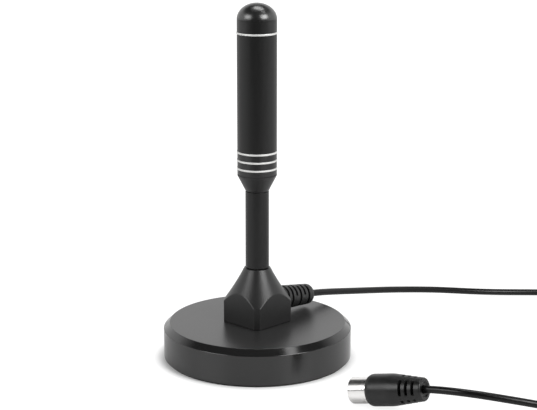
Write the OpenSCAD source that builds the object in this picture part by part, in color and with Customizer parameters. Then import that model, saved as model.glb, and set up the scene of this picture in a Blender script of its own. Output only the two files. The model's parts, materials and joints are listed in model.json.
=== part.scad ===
// Indoor aerial: a short round mast on a weighted, rubber-footed base, with a thin
// coaxial lead, a moulded strain relief and a push-on aerial plug.
// Millimetres, +Z up, origin at the centre of the underside of the base.

/* [Base] */
// Diameter of the base
base_d = 72.4; // [66:0.1:84]
// Height of the base's top face above the surface it stands on
base_h = 14.4; // [13.6:0.1:20]
// Width of the bevel round the top face, seen from above
bevel_w = 2.35; // [0.8:0.05:3]
// Height of that bevel
bevel_h = 2.2; // [0.8:0.05:3]
// Thickness of the housing's side wall
base_wall = 2; // [1.4:0.1:2.4]
// Thickness of the housing's top wall
base_top = 2.4; // [1.8:0.1:3]
// Thickness of the foot pad
pad_t = 0.8; // [0.5:0.1:1.2]
// How far the foot pad's edge lies inside the base's side
pad_inset = 0.9; // [0.4:0.1:1.4]
// Thickness of the bottom cover
cover_t = 1.5; // [1.3:0.1:1.8]

/* [Weight] */
// Outer diameter of the ring magnet
magnet_od = 58; // [50:0.5:60]
// Bore of the ring magnet and of the steel plate on it
magnet_id = 32; // [30:0.5:36]
// Height of the ring magnet
magnet_h = 6; // [4:0.1:6.5]
// Outer diameter of the steel plate
plate_od = 60; // [54:0.5:63]
// Thickness of the steel plate
plate_t = 2; // [1:0.1:2.5]

/* [Mast mount] */
// Width of the mount across its flat faces
mount_w = 20; // [18.5:0.1:23]
// Width of the mount across its cut corners
mount_corner_w = 25.6; // [23.8:0.1:26.4]
// Radius along the mount's upright edges
mount_edge_r = 0.5; // [0.2:0.05:0.9]
// Height of the mount above the base's top face
mount_h = 21.5; // [20:0.1:26]
// Diameter of the mount's top
mount_top_d = 9.7; // [9.3:0.1:11]
// Slope of the mount's cone, from upright
mount_slope = 29.3; // [25:0.1:33]

/* [Mast] */
// Diameter of the slim lower tube
stem_d = 9; // [8.4:0.1:9.2]
// Bore of the slim lower tube
stem_bore = 6.4; // [5.8:0.1:7]
// Length of the slim lower tube
stem_l = 30.1; // [24:0.1:40]
// Height of the flared neck
neck_h = 6.2; // [4:0.1:9]
// Height of the plain collar above the flare
collar_h = 2.45; // [1:0.05:4]
// Diameter of the upper tube
tube_d = 15; // [14.2:0.1:18]
// Bore of the upper tube
tube_bore = 12.6; // [11.4:0.1:13.2]
// Length of the upper tube
tube_l = 44.25; // [36:0.05:60]
// Thickness of each bright ring
ring_t = 0.75; // [0.5:0.05:1.2]
// How far the bright rings stand out of the tube
ring_proud = 0.2; // [0.05:0.05:0.5]
// Height of the black bands between the bright rings
band_h = 2.35; // [1.5:0.05:4]
// Height of the cap's straight skirt
skirt_h = 4.75; // [3:0.05:7]
// Height of the cap's rounded top
dome_h = 6; // [4:0.05:7.5]
// Diameter of the radiator rod inside
rod_d = 2; // [1.5:0.1:2.6]

/* [Strain relief and lead] */
// Diameter of the strain relief where it leaves the mount
relief_d = 9.6; // [8:0.1:9.6]
// Diameter of the strain relief at its end
relief_end_d = 7.9; // [6.6:0.1:8.2]
// Length of the strain relief outside the mount
relief_l = 19; // [17:0.1:24]
// Height of the strain relief's middle above the base's top face
relief_z = 6.8; // [5.8:0.1:7]
// Downward slope of the strain relief
relief_dip = 6.5; // [4:0.5:6.5]
// Diameter of the lead
lead_d = 2.7; // [2.4:0.1:3]

/* [Plug] */
// Diameter of the plug's metal shell
shell_d = 9.525; // [9.1:0.005:9.9]
// Bore of that shell
shell_bore = 8.3; // [7.8:0.05:8.6]
// Length of shell that stands out of the plug's body
shell_out = 7.2; // [6:0.1:9]
// Diameter of the plug's body
plug_d = 11.6; // [11:0.1:13]
// Diameter of the plug's body at its rear end
plug_rear_d = 8.3; // [7.8:0.1:9]
// Length of the plug's body
plug_l = 21.7; // [20:0.1:26]
// Diameter of the plug's contact pin
pin_d = 2.4; // [2:0.05:2.8]

/* [Hidden] */

// Facets round a full turn
round_fn = 96;
small_fn = 40;

// Running fits: a loose slip fit, and the fine fit between moulded and turned pieces
slip = 0.1;
fine = 0.02;

// Colours
black_gloss = [0.07, 0.07, 0.07];
black_satin = [0.12, 0.12, 0.12];
black_rubber = [0.05, 0.05, 0.05];
silver = [0.86, 0.86, 0.85];
steel = [0.55, 0.56, 0.57];
brass = [0.78, 0.62, 0.32];
copper = [0.72, 0.43, 0.27];
natural_white = [0.9, 0.9, 0.86];

// Radii
base_r = base_d / 2;
inside_r = base_r - base_wall;
tube_r = tube_d / 2;
stem_r = stem_d / 2;
spigot_r = tube_bore / 2 - slip;
mount_top_r = mount_top_d / 2;

// Heights of the base's layers
cover_z = pad_t;
magnet_z = cover_z + cover_t;
plate_z = magnet_z + magnet_h;
plate_top_z = plate_z + plate_t;
ceiling_z = base_h - base_top;

// Heights of the mast's pieces, each seated on the one below
mount_top_z = base_h + mount_h;
neck_z = mount_top_z + stem_l;
collar_z = neck_z + neck_h;
ring_1_z = collar_z + collar_h;
band_1_z = ring_1_z + ring_t;
ring_2_z = band_1_z + band_h;
band_2_z = ring_2_z + ring_t;
ring_3_z = band_2_z + band_h;
tube_z = ring_3_z + ring_t;
ring_4_z = tube_z + tube_l;
cap_z = ring_4_z + ring_t;
neck_spigot_l = 9;
cap_spigot_l = 8;

// Ribs under the housing's top, and how far their roots run up into it
rib_t = 1.2;
rib_root = 0.5;

// Screws through the cover into posts inside the magnet's bore
post_d = 5.6;
post_place_r = magnet_id / 2 - post_d / 2 - 0.6;
cover_screw_d = 2.4;
cover_head_d = 4.8;
cover_head_h = 1.1;
cover_screw_l = 7;

// Screws through the housing's top into the mount, near two of its cut corners
mount_screw_d = 2.6;
mount_head_d = 4.6;
mount_head_h = 1.5;
mount_screw_depth = 6;
mount_screw_place_r = mount_corner_w / 2 - 3.4;

// Round neck of the mount that sits in the housing's top, and the hollow in it
hub_d = 12.4;
hollow_d = 10.4;
hollow_h = 9.6;
hollow_top_z = base_h + hollow_h;

// Brass bush in the mount and the stud that joins it to the mast
bush_d = 8;
bush_l = 7.5;
bush_flange_h = 1;
bush_z = hollow_top_z - bush_flange_h;
bush_top_z = bush_z + bush_l;
stud_d = 5;
stud_z = base_h + relief_z - 1;
stud_in_stem = 10;
stem_edge = 0.35;

// Rod up the middle of the mast
rod_seat = 4;
rod_z = mount_top_z + stud_in_stem - rod_seat;
rod_top_z = cap_z - cap_spigot_l - 1.5;
guide_t = 3;
guide_z = rod_top_z - 6 - guide_t;

// Strain relief: where its middle line crosses the mount's rear right face
face_turn = 45;
relief_in = mount_w / 2 - hollow_d / 2 - 2 * slip;
relief_lip = 1;
relief_neck_d = 6;
relief_core_d = 4.8;
relief_slot_w = 1;
relief_first = 4.1;
relief_pitch = 2.39;
relief_rows = floor((relief_l - relief_first - relief_slot_w / 2) / relief_pitch) + 1;
relief_slot_span = 150;
relief_low_span = 95;
lead_bore_d = lead_d + 0.3;
core_d = 1;

// Plug: the middle of its tip, which rests on the surface, and the way it points
plug_dip = 12;
plug_yaw = 32.5;
plug_tip = [34.9, -50.8, shell_d / 2 * cos(plug_dip) + 0.01];
shell_in = 4.2;
plug_shoulder = 1.9;
insulator_t = 5.4;
plug_slot_w = 1;
plug_pitch = 2.38;
plug_slot_rows = 3;
plug_slot_span = 65;
plug_core_d = 6;
plug_roll = 23;

// Coil of spare lead: turns lie three wide and four high, held by one tie
coil_place = [149.1, 12];
coil_mean_d = 32.4;
turns_wide = 3;
turns_high = 4;
tie_t = 0.5;
tie_w = 4;
tie_turn = 205;
tie_gap = 0.25;
coil_z = tie_t + 0.05;
coil_w = turns_wide * lead_d;
coil_h = turns_high * lead_d;

// Route of the lead from the strain relief to the coil
lead_antenna_route = [
    [19.4, 19.4, 19.2], [25, 25, 18.1], [32, 31.8, 16], [39.5, 38.8, 14.2], [47.5, 46, 12.4],
    [56, 53, 10.6], [65, 59.5, 8.8], [74.5, 65.5, 6.9], [84, 70.5, 5], [94, 74.8, 3.2],
    [105, 77.8, 2], [117.6, 79.3, 1.5], [130.2, 79.1, 1.4], [142.5, 76.6, 1.4], [152.8, 71.8, 1.4],
    [160.7, 64.8, 1.4], [165.5, 56, 1.4], [167.8, 46, 1.5], [168.3, 36, 1.6], [168.2, 28, 1.8],
    [168.2, 22, 1.9]];

// Route of the lead from the coil to the plug
lead_plug_route = [
    [168.2, 2, 9.2], [168, -6, 7], [167.6, -14.5, 4.4], [166.6, -23.5, 2.3], [164.3, -32, 1.5],
    [160.2, -40.5, 1.4], [154.3, -48.5, 1.4], [146.2, -56, 1.4], [136.1, -62.4, 1.7],
    [124.8, -67.6, 2.8], [113.2, -71.5, 4.8], [102.4, -74, 7.1], [93, -75.3, 9.3],
    [85, -75.6, 10.8], [77.6, -75.1, 11.9], [71.3, -73.6, 12.3], [65.6, -70.6, 11.9],
    [61.6, -67.9, 11.3], [57.9, -65.4, 10.5]];

// Unit vector along v
function unit(v) = v / norm(v);

// Points on the arc of radius r that rounds corner b between its neighbours a and c
function corner_arc(a, b, c, r, steps) =
    let (
        u = unit(a - b),
        v = unit(c - b),
        half = acos(u * v) / 2,
        middle = b + unit(u + v) * r / sin(half),
        from = b + u * r / tan(half) - middle,
        to = b + v * r / tan(half) - middle,
        start = atan2(from.y, from.x),
        sweep = (atan2(to.y, to.x) - start + 540) % 360 - 180
    )
    [for (i = [0:steps]) middle + r * [cos(start + sweep * i / steps), sin(start + sweep * i / steps)]];

// Closed outline from corners [x, y, radius], with each corner that has a radius rounded
function rounded(corners, steps = 4) =
    let (n = len(corners))
    [for (i = [0:n - 1])
        let (
            a = corners[(i + n - 1) % n],
            b = corners[i],
            c = corners[(i + 1) % n]
        )
        each b[2] == 0 ? [[b.x, b.y]] : corner_arc([a.x, a.y], [b.x, b.y], [c.x, c.y], b[2], steps)];

// Solid of revolution about Z from corners [radius, height, rounding]
module turned(corners, fn = round_fn) {
    rotate_extrude($fn = fn) polygon(rounded(corners));
}

// Flat ring or disc from z, chamfered a little at its outer edges
module washer(outer_r, bore_r, z, t, edge) {
    turned([[bore_r, z, 0], [outer_r - edge, z, 0], [outer_r, z + edge, 0],
        [outer_r, z + t - edge, 0], [outer_r - edge, z + t, 0], [bore_r, z + t, 0]]);
}

// Copies at the three cover screws
module at_cover_screws() {
    for (i = [0:2]) rotate(90 + 120 * i) translate([post_place_r, 0, 0]) children();
}

// Copies at the two mount screws
module at_mount_screws() {
    for (side = [0, 180]) rotate(side) translate([mount_screw_place_r, 0, 0]) children();
}

module foot_pad() {
    color(black_rubber)
        turned([[0, 0, 0], [base_r - pad_inset, 0, 0.25], [base_r - pad_inset, pad_t, 0], [0, pad_t, 0]]);
}

module bottom_cover() {
    ring_in = magnet_od / 2 + slip;
    color(black_satin) difference() {
        union() {
            washer(inside_r - slip, 0, cover_z, cover_t, 0.2);
            difference() {
                translate([0, 0, magnet_z]) cylinder(r = ring_in + 1.2, h = 2, $fn = round_fn);
                translate([0, 0, magnet_z - 1]) cylinder(r = ring_in, h = 4, $fn = round_fn);
            }
        }
        at_cover_screws() {
            translate([0, 0, cover_z - 1]) cylinder(d = cover_screw_d + 2 * slip, h = cover_t + 2, $fn = small_fn);
            translate([0, 0, cover_z - 0.01])
                cylinder(d1 = cover_head_d + 2 * slip, d2 = cover_screw_d + 2 * slip, h = cover_head_h, $fn = small_fn);
        }
    }
}

module cover_screws() {
    head_z = cover_z + 0.05;
    color(steel) at_cover_screws()
        turned([[0, head_z, 0], [cover_head_d / 2, head_z, 0], [cover_screw_d / 2, head_z + cover_head_h, 0],
            [cover_screw_d / 2, head_z + cover_screw_l - 0.8, 0], [0.5, head_z + cover_screw_l, 0],
            [0, head_z + cover_screw_l, 0]], small_fn);
}

module ring_magnet() {
    color([0.22, 0.22, 0.23]) washer(magnet_od / 2, magnet_id / 2, magnet_z, magnet_h, 0.4);
}

module weight_plate() {
    color(steel) washer(plate_od / 2, magnet_id / 2, plate_z, plate_t, 0.3);
}

// Shell with a hub hole, screw posts and a ribbed ring that holds the plate down
module base_housing() {
    ring_r = (magnet_od + magnet_id) / 4;
    root_z = ceiling_z + rib_root;
    rib_h = root_z - plate_top_z;
    color(black_gloss) difference() {
        union() {
            turned([[inside_r, pad_t, 0], [base_r, pad_t, 0.4], [base_r, base_h - bevel_h, 0.35],
                [base_r - bevel_w, base_h, 0.35], [hub_d / 2 + slip, base_h, 0],
                [hub_d / 2 + slip, ceiling_z, 0], [inside_r, ceiling_z, 0]]);
            turned([[ring_r, plate_top_z, 0], [ring_r + rib_t, plate_top_z, 0], [ring_r + rib_t, root_z, 0],
                [ring_r, root_z, 0]]);
            for (i = [0:5])
                rotate(60 * i) translate([ring_r + rib_t / 2, -rib_t / 2, plate_top_z])
                    cube([inside_r - ring_r, rib_t, rib_h]);
            at_cover_screws()
                translate([0, 0, magnet_z]) cylinder(d = post_d, h = root_z - magnet_z, $fn = small_fn);
        }
        at_cover_screws()
            translate([0, 0, magnet_z - 1])
                cylinder(d = cover_screw_d + 2 * fine, h = cover_screw_l + 0.5, $fn = small_fn);
        at_mount_screws()
            translate([0, 0, ceiling_z - 1])
                cylinder(d = mount_screw_d + 2 * slip, h = base_top + 2, $fn = small_fn);
    }
}

// Eight-sided plan of the mount: a square with its corners cut off and its edges eased
module mount_plan() {
    flat = mount_w / 2;
    cut = mount_corner_w / 2;
    near = cut * sqrt(2) - flat;
    corners = [for (i = [0:3]) each [[flat, -near], [flat, near]] * [[cos(90 * i), sin(90 * i)],
        [-sin(90 * i), cos(90 * i)]]];
    rotate(face_turn) polygon(rounded([for (c = corners) [c.x, c.y, mount_edge_r]]));
}

// Solid with its base at the middle of the mount's rear right face, along the strain relief
module at_relief() {
    rotate(face_turn) translate([mount_w / 2, 0, base_h + relief_z]) rotate([0, 90 + relief_dip, 0]) children();
}

// Moulded block whose faces run up into a cone, hollow below for the lead and the bush
module mast_mount() {
    wide_r = mount_corner_w / 2 + 2;
    slope_z = mount_top_z - (wide_r - mount_top_r) / tan(mount_slope);
    color(black_satin) difference() {
        union() {
            intersection() {
                turned([[0, base_h, 0], [wide_r, base_h, 0], [wide_r, slope_z, 0],
                    [mount_top_r, mount_top_z, 0.25], [0, mount_top_z, 0]]);
                translate([0, 0, base_h]) linear_extrude(mount_h) mount_plan();
            }
            translate([0, 0, ceiling_z]) cylinder(d = hub_d, h = base_top + 0.5, $fn = round_fn);
        }
        translate([0, 0, ceiling_z - 1]) cylinder(d = hollow_d, h = hollow_top_z - ceiling_z + 1, $fn = round_fn);
        translate([0, 0, hollow_top_z - 1])
            cylinder(d = bush_d + 2 * fine, h = bush_top_z - hollow_top_z + 1, $fn = round_fn);
        translate([0, 0, bush_top_z - 1]) cylinder(d = stud_d + 2 * slip, h = mount_h, $fn = round_fn);
        at_mount_screws()
            translate([0, 0, base_h - 1])
                cylinder(d = mount_screw_d + 2 * fine, h = mount_screw_depth + 1.5, $fn = small_fn);
        at_relief() translate([0, 0, -mount_w / 2]) cylinder(d = relief_neck_d + 2 * slip, h = mount_w, $fn = round_fn);
        at_relief() translate([0, 0, -relief_lip]) cylinder(d = relief_d + 2 * slip, h = mount_w, $fn = round_fn);
    }
}

module mount_screws() {
    color(steel) at_mount_screws()
        turned([[0, ceiling_z - mount_head_h, 0], [mount_head_d / 2, ceiling_z - mount_head_h, 0.6],
            [mount_head_d / 2, ceiling_z, 0], [mount_screw_d / 2, ceiling_z, 0],
            [mount_screw_d / 2, base_h + mount_screw_depth - 0.8, 0],
            [0.6, base_h + mount_screw_depth, 0], [0, base_h + mount_screw_depth, 0]], small_fn);
}

module threaded_bush() {
    bore_r = stud_d / 2 + 0.05;
    groove = 0.3;
    middle_z = (bush_z + bush_flange_h + bush_top_z) / 2;
    color(brass)
        turned([[bore_r, bush_z, 0], [hollow_d / 2 - slip, bush_z, 0],
            [hollow_d / 2 - slip, bush_z + bush_flange_h, 0], [bush_d / 2, bush_z + bush_flange_h, 0],
            [bush_d / 2, middle_z - 0.6, 0], [bush_d / 2 - groove, middle_z - 0.6, 0],
            [bush_d / 2 - groove, middle_z + 0.6, 0], [bush_d / 2, middle_z + 0.6, 0],
            [bush_d / 2, bush_top_z, 0], [bore_r, bush_top_z, 0]]);
}

module mast_stud() {
    body_r = stem_bore / 2 - fine;
    top_z = mount_top_z + stud_in_stem;
    seat_z = top_z - rod_seat;
    seat_r = rod_d / 2 + fine;
    color(brass)
        turned([[0, stud_z, 0], [stud_d / 2 - 0.5, stud_z, 0], [stud_d / 2, stud_z + 0.5, 0],
            [stud_d / 2, mount_top_z, 0], [body_r, mount_top_z, 0], [body_r, top_z - 0.4, 0],
            [body_r - 0.4, top_z, 0], [seat_r, top_z, 0], [seat_r, seat_z, 0], [0, seat_z, 0]]);
}

module mast_stem() {
    color(black_satin)
        turned([[stem_bore / 2, mount_top_z, 0], [stem_r - stem_edge, mount_top_z, 0],
            [stem_r, mount_top_z + stem_edge, 0], [stem_r, neck_z - 0.15, 0], [stem_r - 0.15, neck_z, 0],
            [stem_bore / 2, neck_z, 0]]);
}

// Flare from the slim tube to the wide one, with a spigot at each end and a clear bore
module mast_neck() {
    low_r = stem_bore / 2 - fine;
    low_z = neck_z - 8;
    bore_r = rod_d / 2 + 0.8;
    top_z = ring_1_z + neck_spigot_l + 3 * ring_t + 2 * band_h;
    wide_bore_r = spigot_r - 1.4;
    color(black_satin)
        turned([[bore_r, low_z, 0], [low_r - 0.3, low_z, 0], [low_r, low_z + 0.3, 0], [low_r, neck_z, 0],
            [stem_r - 0.2, neck_z, 0], [tube_r, collar_z, 0.3], [tube_r, ring_1_z, 0],
            [spigot_r, ring_1_z, 0], [spigot_r, top_z - 0.4, 0], [spigot_r - 0.4, top_z, 0],
            [wide_bore_r, top_z, 0], [wide_bore_r, ring_1_z + 1, 0], [bore_r, ring_1_z - 1.5, 0]]);
}

// Bright ring with a rounded rim that stands a little out of the tube
module trim_ring(z) {
    rim_r = tube_r + ring_proud;
    soft = ring_t * 0.4;
    color(silver)
        turned([[tube_bore / 2, z, 0], [rim_r, z, soft], [rim_r, z + ring_t, soft], [tube_bore / 2, z + ring_t, 0]]);
}

module trim_ring_1() {
    trim_ring(ring_1_z);
}

module trim_ring_2() {
    trim_ring(ring_2_z);
}

module trim_ring_3() {
    trim_ring(ring_3_z);
}

module trim_ring_4() {
    trim_ring(ring_4_z);
}

module spacer_band(z) {
    color(black_gloss) washer(tube_r, tube_bore / 2, z, band_h, 0.12);
}

module spacer_band_1() {
    spacer_band(band_1_z);
}

module spacer_band_2() {
    spacer_band(band_2_z);
}

module mast_tube() {
    color(black_satin) washer(tube_r, tube_bore / 2, tube_z, tube_l, 0.12);
}

// Cap with a straight skirt, a half-ellipse top and a hollow spigot that plugs into the tube
module dome_cap() {
    dome_z = cap_z + skirt_h;
    steps = 24;
    dome = [for (i = [0:steps]) [tube_r * cos(90 * i / steps), dome_z + dome_h * sin(90 * i / steps)]];
    wall_r = spigot_r - 1.4;
    color(black_gloss) rotate_extrude($fn = round_fn)
        polygon(concat(
            [[0, cap_z + 1], [wall_r, cap_z + 1], [wall_r, cap_z - cap_spigot_l],
                [spigot_r - 0.4, cap_z - cap_spigot_l], [spigot_r, cap_z - cap_spigot_l + 0.4],
                [spigot_r, cap_z], [tube_r - 0.12, cap_z], [tube_r, cap_z + 0.12]],
            [for (i = [0:steps - 1]) dome[i]],
            [[0, dome_z + dome_h]]));
}

module radiator_rod() {
    color(brass)
        turned([[0, rod_z, 0], [rod_d / 2, rod_z, 0], [rod_d / 2, rod_top_z, 0.5], [0, rod_top_z, 0]], small_fn);
}

module rod_guide() {
    color(natural_white) washer(tube_bore / 2 - fine, rod_d / 2 + fine, guide_z, guide_t, 0.3);
}

// Rows of slots that let a moulded sleeve flex, cut from its surface down to its core
module slot_row(z, width, core_r, outer_r, span, count, turn) {
    for (i = [0:count - 1])
        rotate(turn + 360 * i / count - span / 2)
            rotate_extrude(angle = span, $fn = round_fn)
                translate([core_r, z - width / 2]) square([outer_r - core_r, width]);
}

module strain_relief() {
    root_r = relief_d / 2;
    end_r = relief_end_d / 2;
    bore_r = lead_bore_d / 2;
    color(black_rubber) at_relief() difference() {
        turned([[0, -relief_in, 0], [relief_neck_d / 2, -relief_in, 0], [relief_neck_d / 2, -relief_lip, 0],
            [root_r, -relief_lip, 0], [root_r, 2, 0], [end_r, relief_l, 2], [bore_r, relief_l, 0],
            [bore_r, relief_l - 3, 0], [0, relief_l - 3, 0]]);
        for (i = [0:2:relief_rows - 1])
            slot_row(relief_l - relief_first - i * relief_pitch, relief_slot_w, relief_core_d / 2, root_r + 1,
                relief_slot_span, 2, 90);
        for (i = [1:2:relief_rows - 1]) {
            slot_row(relief_l - relief_first - i * relief_pitch, relief_slot_w, relief_core_d / 2, root_r + 1,
                relief_slot_span, 1, 180);
            slot_row(relief_l - relief_first - i * relief_pitch, relief_slot_w, relief_core_d / 2, root_r + 1,
                relief_low_span, 1, 0);
        }
    }
}

// Bared end of the lead, from the strain relief to the stud
module core_wire() {
    color(copper) at_relief()
        translate([0, 0, stud_d / 2 - mount_w / 2 + 0.1])
            cylinder(d = core_d, h = mount_w / 2 - stud_d / 2 - relief_in - 0.1, $fn = small_fn);
}

// Direction of a route at point i, from its neighbours
function heading(route, i) = unit(route[min(i + 1, len(route) - 1)] - route[max(i - 1, 0)]);

// Eight points round a route's point i, square to its direction
function route_ring(route, i, r, sides) =
    let (
        ahead = heading(route, i),
        side = unit(cross([0, 0, 1], ahead)),
        up = cross(ahead, side)
    )
    [for (k = [0:sides - 1])
        let (a = 360 * (k + 0.5) / sides)
        route[i] + r * (cos(a) * side + sin(a) * up)];

// Extra points between a route's own, on a smooth curve through them
function smooth(route) =
    let (last = len(route) - 1)
    [for (i = [0:last]) each i == last ? [route[i]] : [route[i],
        (9 * (route[i] + route[i + 1]) - route[max(i - 1, 0)] - route[min(i + 2, last)]) / 16]];

// Closed tube along a route
module route_tube(route, r, sides = 8) {
    points = [for (i = [0:len(route) - 1]) each route_ring(route, i, r, sides)];
    last = (len(route) - 1) * sides;
    walls = [for (i = [0:len(route) - 2]) each [for (k = [0:sides - 1])
        let (
            near = i * sides,
            next = (k + 1) % sides
        )
        [near + k, near + sides + k, near + sides + next, near + next]]];
    near_end = [for (k = [0:sides - 1]) k];
    far_end = [for (k = [0:sides - 1]) last + sides - 1 - k];
    polyhedron(points, concat(walls, [near_end, far_end]));
}

module lead_antenna() {
    color(black_rubber) route_tube(smooth(lead_antenna_route), lead_d / 2);
}

module lead_plug() {
    color(black_rubber) route_tube(smooth(lead_plug_route), lead_d / 2);
}

// Outer shape of the coil
module lead_coil() {
    inner_r = coil_mean_d / 2 - coil_w / 2;
    outer_r = coil_mean_d / 2 + coil_w / 2;
    soft = lead_d / 2;
    color(black_rubber) translate([coil_place.x, coil_place.y, 0])
        turned([[inner_r, coil_z, soft], [outer_r, coil_z, soft], [outer_r, coil_z + coil_h, soft],
            [inner_r, coil_z + coil_h, soft]]);
}

// Flat tie round the coil's turns
module coil_tie() {
    half_w = coil_w / 2 + tie_gap;
    low = coil_z - tie_t - 0.05;
    high = coil_z + coil_h + 0.05;
    soft = lead_d / 2;
    color([0.1, 0.1, 0.1]) translate([coil_place.x, coil_place.y, 0])
        rotate(tie_turn) translate([coil_mean_d / 2, 0, 0]) rotate([90, 0, 0])
            linear_extrude(tie_w, center = true) difference() {
                polygon(rounded([[-half_w - tie_t, low, soft + tie_t], [half_w + tie_t, low, soft + tie_t],
                    [half_w + tie_t, high + tie_t, soft + tie_t], [-half_w - tie_t, high + tie_t, soft + tie_t]]));
                polygon(rounded([[-half_w, low + tie_t, soft], [half_w, low + tie_t, soft],
                    [half_w, high, soft], [-half_w, high, soft]]));
            }
}

// Solid drawn with +Z out of the plug's tip and its tip at zero
module at_plug() {
    translate(plug_tip) rotate([0, 90 + plug_dip, 180 - plug_yaw]) children();
}

// Moulded body: a rounded shoulder, a tapering slotted tail and a dished rear end
module plug_body() {
    front = -shell_out;
    rear = -shell_out - plug_l;
    seat_r = shell_bore / 2;
    bore_r = lead_bore_d / 2;
    body_r = plug_d / 2;
    rear_r = plug_rear_d / 2;
    dish_r = bore_r + 1.4;
    steps = 5;
    step_w = body_r - shell_d / 2;
    shoulder = [for (i = [0:steps]) [shell_d / 2 + step_w * sin(90 * i / steps),
        front - plug_shoulder * (1 - cos(90 * i / steps)), 0]];
    color(black_rubber) at_plug() rotate(plug_roll) difference() {
        turned(concat([[0, front - shell_in - fine, 0], [seat_r, front - shell_in - fine, 0],
            [seat_r, front, 0]], shoulder,
            [[body_r, front - 9.6, 14], [rear_r, rear, 0.6], [dish_r, rear, 0.2], [dish_r - 0.4, rear + 0.8, 0],
                [bore_r, rear + 0.8, 0], [bore_r, rear + 4, 0], [0, rear + 4, 0]]));
        for (i = [0:plug_slot_rows - 1])
            slot_row(rear + 2.8 + i * plug_pitch, plug_slot_w, plug_core_d / 2, body_r, plug_slot_span, 4, 0);
    }
}

// Sleeve that the socket slides over, seated on the body's front
module plug_shell() {
    bore_r = shell_bore / 2;
    color(silver) at_plug()
        turned([[bore_r, -shell_out, 0], [shell_d / 2, -shell_out, 0], [shell_d / 2, 0, 0.25], [bore_r, 0, 0.2]]);
}

// Disc in the body and in the shell's rear end, which centres both and holds the pin
module plug_insulator() {
    back = -shell_out - shell_in;
    color(natural_white) at_plug() washer(shell_bore / 2 - fine, pin_d / 2 + fine, back, insulator_t, 0.2);
}

module plug_pin() {
    back = -shell_out - shell_in;
    color(silver) at_plug()
        turned([[0, back, 0], [pin_d / 2, back, 0], [pin_d / 2, -0.3, pin_d * 0.4], [0, -0.3, 0]], small_fn);
}

foot_pad();
bottom_cover();
cover_screws();
ring_magnet();
weight_plate();
base_housing();
mast_mount();
mount_screws();
threaded_bush();
mast_stud();
mast_stem();
mast_neck();
trim_ring_1();
spacer_band_1();
trim_ring_2();
spacer_band_2();
trim_ring_3();
mast_tube();
trim_ring_4();
dome_cap();
radiator_rod();
rod_guide();
strain_relief();
core_wire();
lead_antenna();
lead_coil();
coil_tie();
lead_plug();
plug_body();
plug_shell();
plug_insulator();
plug_pin();
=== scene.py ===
"""Finished surfaces and finishes of a small indoor television aerial: a mast on a weighted round
base, its moulded mount and strain relief, and a thin coaxial lead that ends in a push-on plug.

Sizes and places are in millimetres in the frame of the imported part, and solid() and strand() turn
them into metres. Most pieces are grids of points: a profile carried round an axis, or a radius
that is a function of the turn round the axis and of the place along it."""
import json
import math

import bpy
import mathutils
import numpy as np
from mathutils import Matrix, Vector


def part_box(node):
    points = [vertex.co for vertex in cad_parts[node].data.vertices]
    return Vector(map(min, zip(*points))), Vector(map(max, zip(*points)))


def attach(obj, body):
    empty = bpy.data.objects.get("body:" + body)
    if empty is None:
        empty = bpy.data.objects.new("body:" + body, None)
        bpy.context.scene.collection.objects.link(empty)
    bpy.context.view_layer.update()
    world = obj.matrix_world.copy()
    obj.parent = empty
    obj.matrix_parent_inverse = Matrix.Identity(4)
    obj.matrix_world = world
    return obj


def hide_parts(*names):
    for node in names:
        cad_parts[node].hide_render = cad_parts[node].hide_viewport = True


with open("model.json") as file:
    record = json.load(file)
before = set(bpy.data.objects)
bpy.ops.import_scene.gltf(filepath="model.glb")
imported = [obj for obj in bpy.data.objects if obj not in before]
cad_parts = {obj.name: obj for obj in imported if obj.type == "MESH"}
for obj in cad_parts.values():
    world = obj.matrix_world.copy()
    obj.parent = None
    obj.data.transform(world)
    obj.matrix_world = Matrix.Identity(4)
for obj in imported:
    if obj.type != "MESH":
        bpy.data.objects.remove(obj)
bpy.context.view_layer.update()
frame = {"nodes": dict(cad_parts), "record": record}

MM = 0.001
TURN = 2 * math.pi
TINY = 1e-6


def placed(name, data):
    """Object with the data given, linked into the scene."""
    made = bpy.data.objects.new(name, data)
    bpy.context.scene.collection.objects.link(made)
    return made


# Camera, fitted to the outlines of the mast, the base and the plug. Its tilt is in degrees, its
# lens and sensor are in millimetres, and its clip distances are in metres.
camera_place = (4.30, -588.70, 206.05)
camera_tilt = 76.106
camera_lens = 106.83
sensor_w = 36
clip_near = 0.01
clip_far = 20


def place_camera():
    """Camera at the photograph's viewpoint."""
    data = bpy.data.cameras.new("view_camera")
    data.lens = camera_lens
    data.sensor_width = sensor_w
    data.clip_start = clip_near
    data.clip_end = clip_far
    camera = placed("view_camera", data)
    camera.location = [c * MM for c in camera_place]
    camera.rotation_euler = (math.radians(camera_tilt), 0, 0)
    bpy.context.scene.camera = camera


place_camera()


# Lead: its routes between the strain relief, the coil of spare lead and the plug
lead_d = 2.7
lead_antenna_route = [
    (19.4, 19.4, 19.2), (25, 25, 18.15), (32, 31.8, 16.4), (39.5, 38.8, 14.5), (47.5, 46, 12.6),
    (56, 53, 10.7), (65, 59.5, 8.8), (74.5, 65.5, 6.9), (84, 70.5, 5), (94, 74.8, 3.2),
    (105, 77.8, 2), (117.6, 79.3, 1.5), (130.2, 79.1, 1.4), (142.5, 76.6, 1.4), (152.8, 71.8, 1.4),
    (160.7, 64.8, 1.4), (165.5, 56, 1.4), (167.8, 46, 1.5), (168.3, 36, 1.6), (168.2, 28, 1.8),
    (168.2, 22, 1.9)]
lead_plug_route = [
    (168.2, 2, 9.2), (168, -6, 7), (167.6, -14.5, 4.4), (166.6, -23.5, 2.3), (164.3, -32, 1.5),
    (160.2, -40.5, 1.4), (154.3, -48.5, 1.4), (146.2, -56, 1.4), (136.1, -62.4, 1.7),
    (124.8, -67.6, 2.8), (113.2, -71.5, 4.8), (102.4, -74, 7.1), (93, -75.3, 9.3),
    (85, -75.6, 10.8), (77.6, -75.1, 11.9), (71.3, -73.6, 12.3), (65.6, -70.6, 11.9),
    (61.6, -67.9, 11.3), (57.9, -65.4, 10.5)]

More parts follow.
